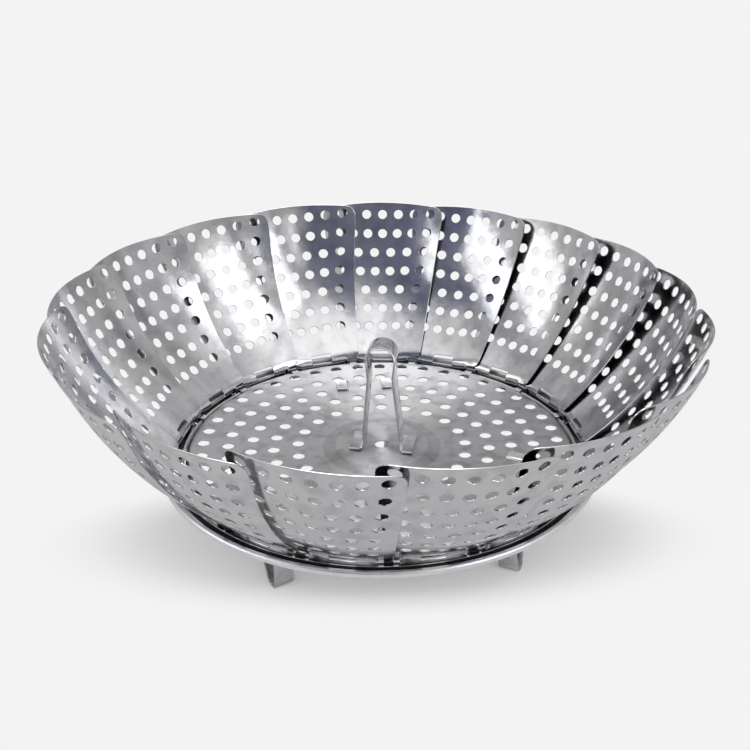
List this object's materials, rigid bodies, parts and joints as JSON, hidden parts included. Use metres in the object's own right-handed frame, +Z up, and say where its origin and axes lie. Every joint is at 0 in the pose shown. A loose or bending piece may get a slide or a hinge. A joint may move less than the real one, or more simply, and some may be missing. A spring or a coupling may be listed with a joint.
{
  "type": "folding steamer basket",
  "caption": "Round folding steamer basket: perforated base plate on three strip legs, a lifting loop, and overlapping perforated petals hinged on a ring of wire.",
  "frame": {"origin": "centre of the basket at the floor, under the lifting loop", "axes": "+Z up; +Y away from the camera of the picture, one degree from the middle of petal_01; the petals are open at rest"},
  "size_m": [0.2552, 0.2555, 0.1099],
  "materials": {
    "plate_steel": "satin stainless sheet",
    "petal_steel": "polished stainless sheet",
    "wire_steel": "drawn stainless wire",
    "strip_steel": "polished stainless strip"
  },
  "bodies": {
    "base": {"base_plate": "plate_steel", "hinge_wire": "wire_steel", "lifting_loop": "strip_steel", "leg_1": "strip_steel", "leg_2": "strip_steel", "leg_3": "strip_steel"},
    "petal_01": {"petal_01": "petal_steel"},
    "petal_02": {"petal_02": "petal_steel"},
    "petal_03": {"petal_03": "petal_steel"},
    "petal_04": {"petal_04": "petal_steel"},
    "petal_05": {"petal_05": "petal_steel"},
    "petal_06": {"petal_06": "petal_steel"},
    "petal_07": {"petal_07": "petal_steel"},
    "petal_08": {"petal_08": "petal_steel"},
    "petal_09": {"petal_09": "petal_steel"},
    "petal_10": {"petal_10": "petal_steel"},
    "petal_11": {"petal_11": "petal_steel"},
    "petal_12": {"petal_12": "petal_steel"},
    "petal_13": {"petal_13": "petal_steel"},
    "petal_14": {"petal_14": "petal_steel"},
    "petal_15": {"petal_15": "petal_steel"},
    "petal_16": {"petal_16": "petal_steel"},
    "petal_17": {"petal_17": "petal_steel"}
  },
  "joints": [
    {"name": "petal_01_fold", "type": "hinge", "parent": "base", "child": "petal_01", "pos_m": [0.00129, 0.08159, 0.0447], "axis": [0.9999, -0.0158, 0], "range_deg": [0, 65]},
    {"name": "petal_02_fold", "type": "hinge", "parent": "base", "child": "petal_02", "pos_m": [-0.02672, 0.0771, 0.0447], "axis": [0.9449, 0.3274, 0], "range_deg": [0, 65]},
    {"name": "petal_03_fold", "type": "hinge", "parent": "base", "child": "petal_03", "pos_m": [-0.0518, 0.06305, 0.0447], "axis": [0.7727, 0.6348, 0], "range_deg": [0, 65]},
    {"name": "petal_04_fold", "type": "hinge", "parent": "base", "child": "petal_04", "pos_m": [-0.07074, 0.04068, 0.0447], "axis": [0.4985, 0.8669, 0], "range_deg": [0, 65]},
    {"name": "petal_05_fold", "type": "hinge", "parent": "base", "child": "petal_05", "pos_m": [-0.08065, 0.0124, 0.0447], "axis": [0.152, 0.9884, 0], "range_deg": [0, 65]},
    {"name": "petal_06_fold", "type": "hinge", "parent": "base", "child": "petal_06", "pos_m": [-0.07955, -0.01819, 0.0447], "axis": [-0.2229, 0.9748, 0], "range_deg": [0, 65]},
    {"name": "petal_07_fold", "type": "hinge", "parent": "base", "child": "petal_07", "pos_m": [-0.06692, -0.0467, 0.0447], "axis": [-0.5722, 0.8201, 0], "range_deg": [0, 65]},
    {"name": "petal_08_fold", "type": "hinge", "parent": "base", "child": "petal_08", "pos_m": [-0.04417, -0.06861, 0.0447], "axis": [-0.8408, 0.5413, 0], "range_deg": [0, 65]},
    {"name": "petal_09_fold", "type": "hinge", "parent": "base", "child": "petal_09", "pos_m": [-0.01462, -0.08028, 0.0447], "axis": [-0.9838, 0.1791, 0], "range_deg": [0, 65]},
    {"name": "petal_10_fold", "type": "hinge", "parent": "base", "child": "petal_10", "pos_m": [0.0171, -0.07979, 0.0447], "axis": [-0.9778, -0.2096, 0], "range_deg": [0, 65]},
    {"name": "petal_11_fold", "type": "hinge", "parent": "base", "child": "petal_11", "pos_m": [0.046, -0.0674, 0.0447], "axis": [-0.826, -0.5637, 0], "range_deg": [0, 65]},
    {"name": "petal_12_fold", "type": "hinge", "parent": "base", "child": "petal_12", "pos_m": [0.0678, -0.04541, 0.0447], "axis": [-0.5565, -0.8308, 0], "range_deg": [0, 65]},
    {"name": "petal_13_fold", "type": "hinge", "parent": "base", "child": "petal_13", "pos_m": [0.0797, -0.0175, 0.0447], "axis": [-0.2144, -0.9767, 0], "range_deg": [0, 65]},
    {"name": "petal_14_fold", "type": "hinge", "parent": "base", "child": "petal_14", "pos_m": [0.08069, 0.01217, 0.0447], "axis": [0.1491, -0.9888, 0], "range_deg": [0, 65]},
    {"name": "petal_15_fold", "type": "hinge", "parent": "base", "child": "petal_15", "pos_m": [0.0713, 0.03968, 0.0447], "axis": [0.4862, -0.8738, 0], "range_deg": [0, 65]},
    {"name": "petal_16_fold", "type": "hinge", "parent": "base", "child": "petal_16", "pos_m": [0.05326, 0.06182, 0.0447], "axis": [0.7576, -0.6527, 0], "range_deg": [0, 65]},
    {"name": "petal_17_fold", "type": "hinge", "parent": "base", "child": "petal_17", "pos_m": [0.02898, 0.07628, 0.0447], "axis": [0.9348, -0.3551, 0], "range_deg": [0, 65]}
  ],
  "couplings": [
    {"joint": "petal_02_fold", "follows": "petal_01_fold", "ratio": 1},
    {"joint": "petal_03_fold", "follows": "petal_01_fold", "ratio": 1},
    {"joint": "petal_04_fold", "follows": "petal_01_fold", "ratio": 1},
    {"joint": "petal_05_fold", "follows": "petal_01_fold", "ratio": 1},
    {"joint": "petal_06_fold", "follows": "petal_01_fold", "ratio": 1},
    {"joint": "petal_07_fold", "follows": "petal_01_fold", "ratio": 1},
    {"joint": "petal_08_fold", "follows": "petal_01_fold", "ratio": 1},
    {"joint": "petal_09_fold", "follows": "petal_01_fold", "ratio": 1},
    {"joint": "petal_10_fold", "follows": "petal_01_fold", "ratio": 1},
    {"joint": "petal_11_fold", "follows": "petal_01_fold", "ratio": 1},
    {"joint": "petal_12_fold", "follows": "petal_01_fold", "ratio": 1},
    {"joint": "petal_13_fold", "follows": "petal_01_fold", "ratio": 1},
    {"joint": "petal_14_fold", "follows": "petal_01_fold", "ratio": 1},
    {"joint": "petal_15_fold", "follows": "petal_01_fold", "ratio": 1},
    {"joint": "petal_16_fold", "follows": "petal_01_fold", "ratio": 1},
    {"joint": "petal_17_fold", "follows": "petal_01_fold", "ratio": 1}
  ]
}
